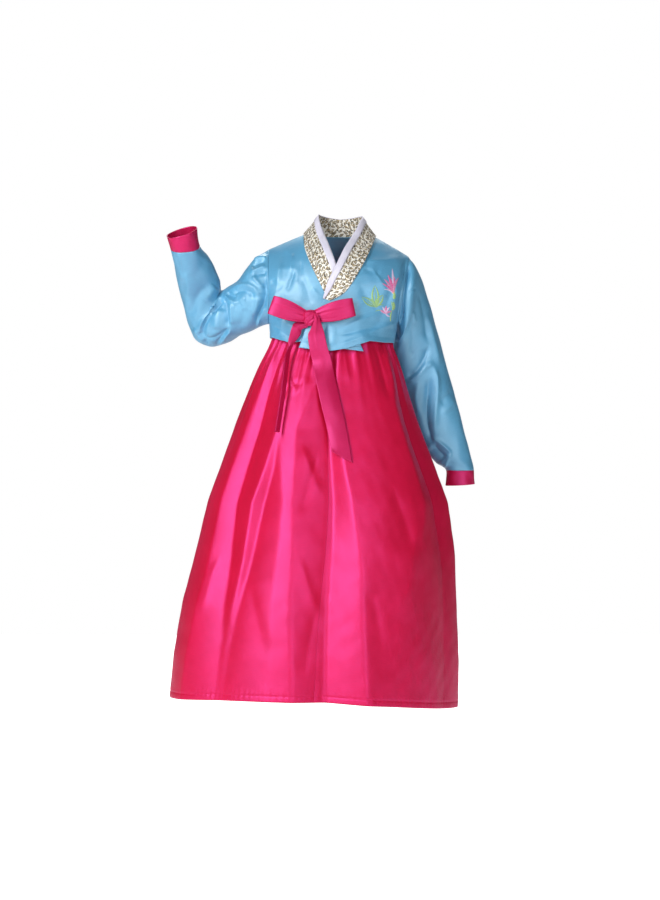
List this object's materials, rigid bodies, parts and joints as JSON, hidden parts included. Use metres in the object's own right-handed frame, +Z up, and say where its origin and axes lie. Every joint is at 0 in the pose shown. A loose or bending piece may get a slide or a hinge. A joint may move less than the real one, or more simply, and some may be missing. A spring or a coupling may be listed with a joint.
{
  "type": "child's hanbok",
  "caption": "Worn child's hanbok: wide-sleeved wrap jacket with a tied ribbon bow and cuff bands over a long full gathered skirt, all open inside",
  "frame": {"origin": "middle of the neck opening at the height of the shoulders, where the garment hangs on its wearer", "axes": "+Z up; the front faces -Y; +X is the wearer's left. The skirt spreads widest along X and the height along Z is the longest extent"},
  "size_m": [0.6179, 0.494, 0.9827],
  "materials": {
    "sky_satin": "glossy sky-blue satin with soft creases",
    "magenta_satin": "glossy magenta satin in deep soft folds",
    "pink_ribbon": "hot-pink satin ribbon and cuff bands",
    "gold_brocade": "ivory ground with olive-gold woven scroll leaves",
    "white_strip": "stiff plain white strip",
    "white_cotton": "plain matt cotton, hidden in wear"
  },
  "bodies": {
    "root": {"jeogori_back": "sky_satin", "jeogori_front_left": "sky_satin", "jeogori_front_right": "sky_satin", "git": "gold_brocade", "dongjeong": "white_strip", "sleeve_right_shoulder": "sky_satin", "sleeve_right_upper": "sky_satin", "sleeve_right_elbow": "sky_satin", "sleeve_right_lower": "sky_satin", "sleeve_right_forearm": "sky_satin", "sleeve_right_wrist": "sky_satin", "sleeve_left_shoulder": "sky_satin", "sleeve_left_upper": "sky_satin", "sleeve_left_elbow": "sky_satin", "sleeve_left_lower": "sky_satin", "sleeve_left_forearm": "sky_satin", "sleeve_left_wrist": "sky_satin", "cuff_right": "pink_ribbon", "cuff_left": "pink_ribbon", "chima_front_left": "magenta_satin", "chima_front_right": "magenta_satin", "chima_back_left": "magenta_satin", "chima_back_right": "magenta_satin", "chima_band": "white_cotton", "chima_strap_left": "white_cotton", "chima_strap_right": "white_cotton", "goreum_knot": "pink_ribbon", "goreum_loop_right": "pink_ribbon", "goreum_loop_left": "pink_ribbon", "goreum_tail_front": "pink_ribbon", "goreum_tail_side": "pink_ribbon"}
  },
  "joints": []
}
